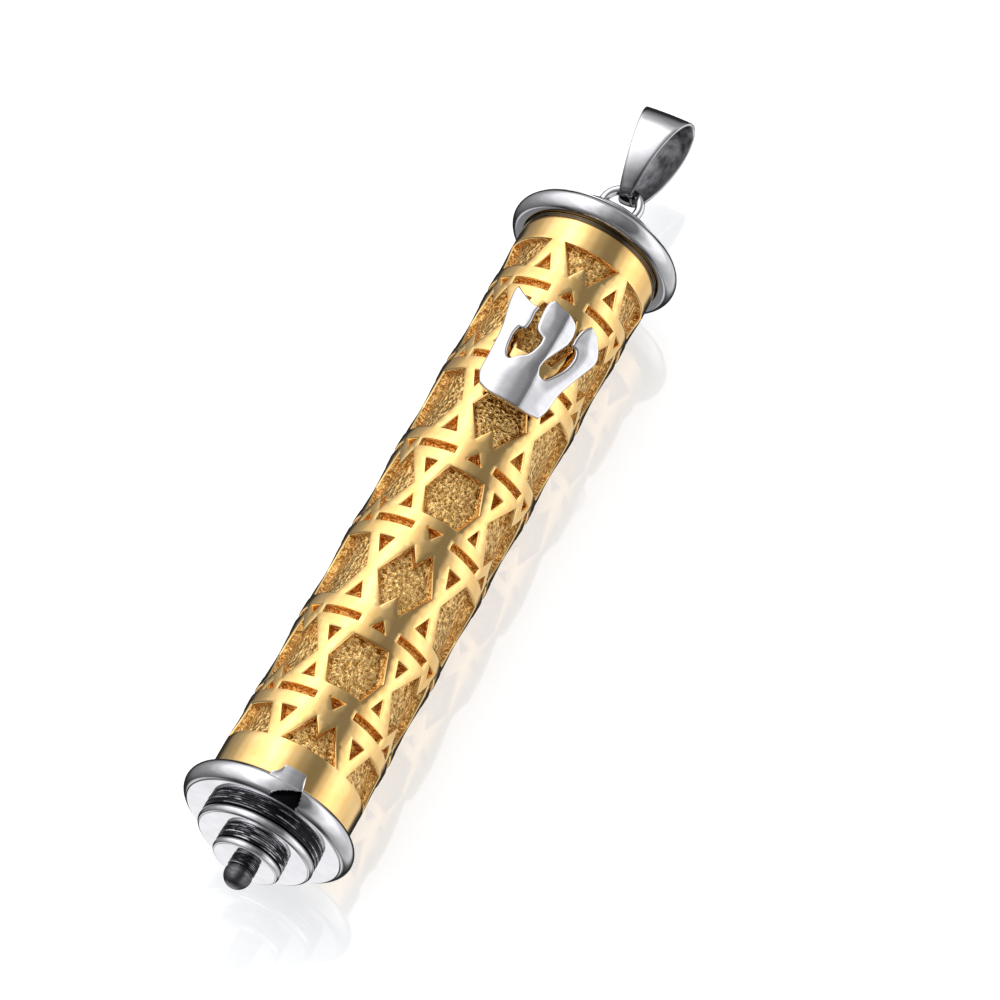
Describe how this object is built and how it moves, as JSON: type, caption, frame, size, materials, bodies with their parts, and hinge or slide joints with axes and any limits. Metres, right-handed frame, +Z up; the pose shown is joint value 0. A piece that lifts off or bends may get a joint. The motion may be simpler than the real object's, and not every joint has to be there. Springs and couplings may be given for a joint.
{
  "type": "mezuzah case pendant",
  "caption": "Cylindrical mezuzah case pendant: lattice tube, raised Shin letter, stepped screw cap with ball finial, ring and folded-strap bail.",
  "frame": {"origin": "underside of the hang ring's top, where the bail bears and the case hangs", "axes": "+Z up along the case's axis towards the bail, the letter faces -Y, +X to the viewer's right"},
  "size_m": [0.0106, 0.0106, 0.0574],
  "materials": {
    "gold": "polished, with sand-textured pocket floors",
    "silver": "mirror polished",
    "oxidised_silver": "blackened in the grooves, rubbed bright on the ribs",
    "parchment": "matt, rolled"
  },
  "bodies": {
    "case": {"lattice_tube": "gold", "thread_bush": "silver", "top_flange": "silver", "top_step": "silver", "top_boss": "silver", "top_spigot": "silver", "hang_ring": "silver", "shin_letter": "silver", "shin_post_lower": "silver", "shin_post_upper": "silver"},
    "bail": {"bail": "silver"},
    "scroll": {"parchment_scroll": "parchment"},
    "cap": {"bottom_flange": "silver", "catch_tab": "silver", "threaded_plug": "silver", "drum_large": "oxidised_silver", "step_large": "silver", "drum_small": "oxidised_silver", "step_small": "silver", "finial_stem": "oxidised_silver", "finial_ball": "oxidised_silver"}
  },
  "joints": [
    {"name": "bail_swing", "type": "hinge", "parent": "case", "child": "bail", "pos_m": [0, 0, 0.00029], "axis": [0.9583, -0.2857, 0], "range_deg": [-74, 86]},
    {"name": "scroll_travel", "type": "slide", "parent": "case", "child": "scroll", "axis": [0, 0, -1], "range_m": [0, 0.003]},
    {"name": "cap_turn", "type": "hinge", "parent": "scroll", "child": "cap", "pos_m": [0, 0, -0.0465], "axis": [0, 0, -1], "range_deg": [0, 1801]}
  ],
  "couplings": [
    {"joint": "cap_turn", "follows": "scroll_travel", "rad_per_m": 10472}
  ]
}
